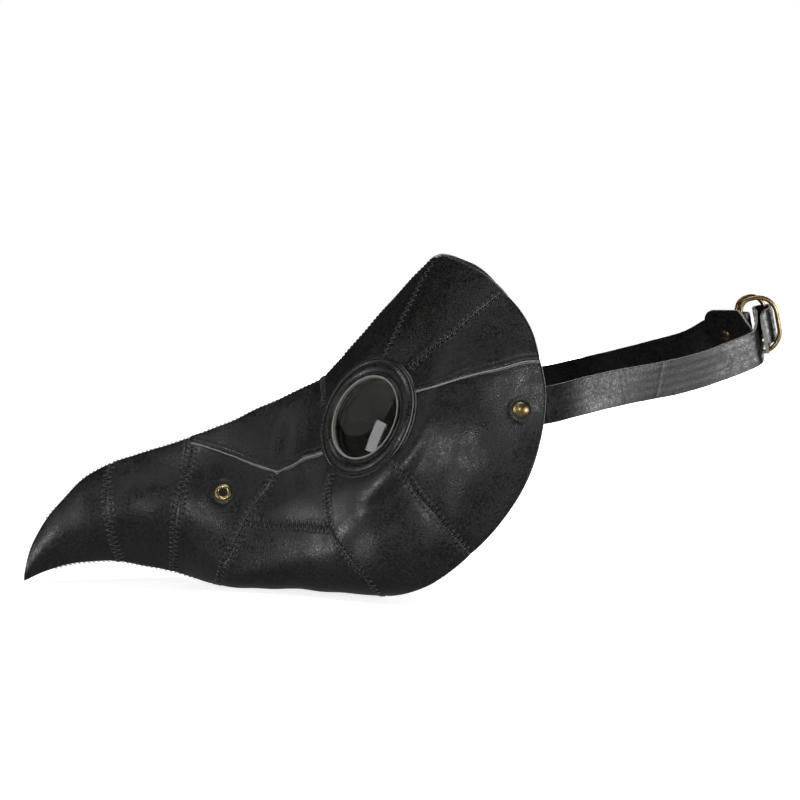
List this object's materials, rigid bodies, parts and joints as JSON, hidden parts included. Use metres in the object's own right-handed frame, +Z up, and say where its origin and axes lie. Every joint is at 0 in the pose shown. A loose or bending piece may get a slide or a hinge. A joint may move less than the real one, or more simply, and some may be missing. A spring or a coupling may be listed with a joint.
{
  "type": "plague doctor mask",
  "caption": "Long-beaked black leather face mask of sewn patches with round dark lenses, side vents and a rear strap closed by a double D-ring.",
  "frame": {"origin": "centre of the bounding box on the surface the mask rests on", "axes": "+X from the beak's tip towards the back straps, +Y to the wearer's right, +Z up"},
  "size_m": [0.4343, 0.1734, 0.1877],
  "materials": {
    "mask_leather": "satin smooth black leather with a fine grain",
    "eye_leather": "satin smooth black leather rings",
    "strap_leather": "satin black leather straps with lighter raw edges",
    "backing": "matte black backing ring",
    "lens": "glossy dark tinted lens",
    "antique_brass": "antique brass, darkened in its hollows"
  },
  "bodies": {
    "mask": {"left_beak_tip": "mask_leather", "left_beak_middle": "mask_leather", "left_vent_patch": "mask_leather", "left_bridge_patch": "mask_leather", "left_front_cheek": "mask_leather", "left_lower_front": "mask_leather", "left_lower_cheek": "mask_leather", "left_rear_cheek": "mask_leather", "left_temple": "mask_leather", "left_forehead_side": "mask_leather", "left_brow_strip": "mask_leather", "right_beak_tip": "mask_leather", "right_beak_middle": "mask_leather", "right_vent_patch": "mask_leather", "right_bridge_patch": "mask_leather", "right_front_cheek": "mask_leather", "right_lower_front": "mask_leather", "right_lower_cheek": "mask_leather", "right_rear_cheek": "mask_leather", "right_temple": "mask_leather", "right_forehead_side": "mask_leather", "right_brow_strip": "mask_leather", "left_eye_ring": "eye_leather", "left_eye_band": "eye_leather", "left_eye_rim": "eye_leather", "left_lens": "lens", "left_eye_backing": "backing", "right_eye_ring": "eye_leather", "right_eye_band": "eye_leather", "right_eye_rim": "eye_leather", "right_lens": "lens", "right_eye_backing": "backing", "left_eyelet": "antique_brass", "left_eyelet_washer": "antique_brass", "right_eyelet": "antique_brass", "right_eyelet_washer": "antique_brass", "left_rivet": "antique_brass", "left_rivet_base": "antique_brass", "right_rivet": "antique_brass", "right_rivet_base": "antique_brass"},
    "left_strap": {"left_strap": "strap_leather"},
    "right_strap": {"right_strap": "strap_leather", "strap_tab": "strap_leather", "tab_rivet": "antique_brass"},
    "ring_front": {"ring_front": "antique_brass"},
    "ring_rear": {"ring_rear": "antique_brass"}
  },
  "joints": [
    {"name": "right_strap_swivel", "type": "hinge", "parent": "mask", "child": "right_strap", "pos_m": [0.0638, 0.0784, 0.1075], "axis": [0, 1, 0], "range_deg": [-30, 45]},
    {"name": "left_strap_swivel", "type": "hinge", "parent": "mask", "child": "left_strap", "pos_m": [0.0638, -0.0784, 0.1075], "axis": [0, 1, 0], "range_deg": [-30, 45]},
    {"name": "ring_front_swing", "type": "hinge", "parent": "right_strap", "child": "ring_front", "pos_m": [0.19461, -0.00097, 0.14665], "axis": [-0.204, -0.1628, 0.9653], "range_deg": [-15, 2]},
    {"name": "ring_rear_swing", "type": "hinge", "parent": "right_strap", "child": "ring_rear", "pos_m": [0.19259, 0.00097, 0.14655], "axis": [-0.204, -0.1628, 0.9653], "range_deg": [-3, 3]}
  ],
  "couplings": [
    {"joint": "left_strap_swivel", "follows": "right_strap_swivel", "ratio": 1}
  ]
}
